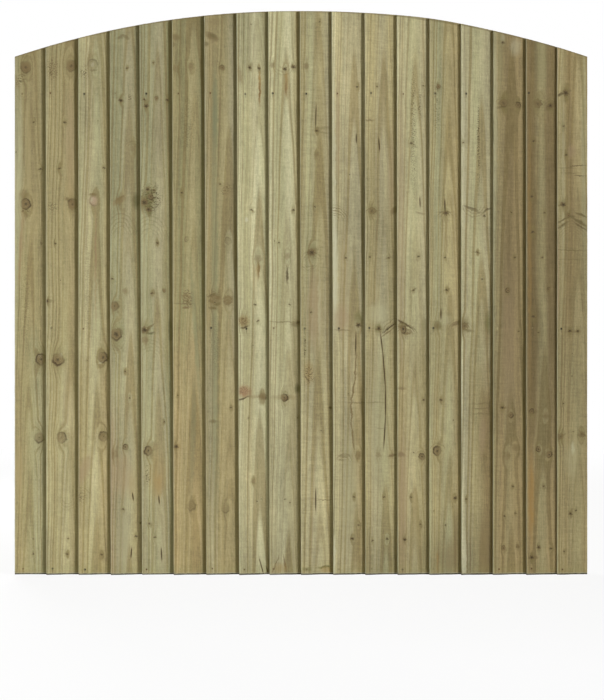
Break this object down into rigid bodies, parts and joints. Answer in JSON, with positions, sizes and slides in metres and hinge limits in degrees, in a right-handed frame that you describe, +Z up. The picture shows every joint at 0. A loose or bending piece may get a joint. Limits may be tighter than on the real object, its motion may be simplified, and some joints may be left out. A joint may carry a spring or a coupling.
{
  "type": "closeboard fence panel",
  "caption": "Arched-top closeboard fence panel: upright feather-edge boards lapped side by side and nailed to rails between two stiles.",
  "frame": {"origin": "middle of the foot, on the ground line, halfway along the panel and halfway through its thickness", "axes": "+Z up the boards, +X along the panel to the right as seen from the boarded face, -Y out of the boarded face"},
  "size_m": [1.83, 0.0502, 1.8],
  "materials": {
    "board_softwood": "rough-sawn pressure-treated softwood with a green-brown tint",
    "frame_softwood": "sawn pressure-treated softwood batten",
    "nail_steel": "dull galvanised wire nail"
  },
  "bodies": {
    "root": {"board_01": "board_softwood", "board_02": "board_softwood", "board_03": "board_softwood", "board_04": "board_softwood", "board_05": "board_softwood", "board_06": "board_softwood", "board_07": "board_softwood", "board_08": "board_softwood", "board_09": "board_softwood", "board_10": "board_softwood", "board_11": "board_softwood", "board_12": "board_softwood", "board_13": "board_softwood", "board_14": "board_softwood", "board_15": "board_softwood", "board_16": "board_softwood", "board_17": "board_softwood", "end_board": "board_softwood", "bottom_rail": "frame_softwood", "middle_rail": "frame_softwood", "top_rail": "frame_softwood", "left_stile": "frame_softwood", "right_stile": "frame_softwood", "bottom_row_nails": "nail_steel", "middle_row_nails": "nail_steel", "top_row_nails": "nail_steel", "left_frame_nails": "nail_steel", "right_frame_nails": "nail_steel"}
  },
  "joints": []
}
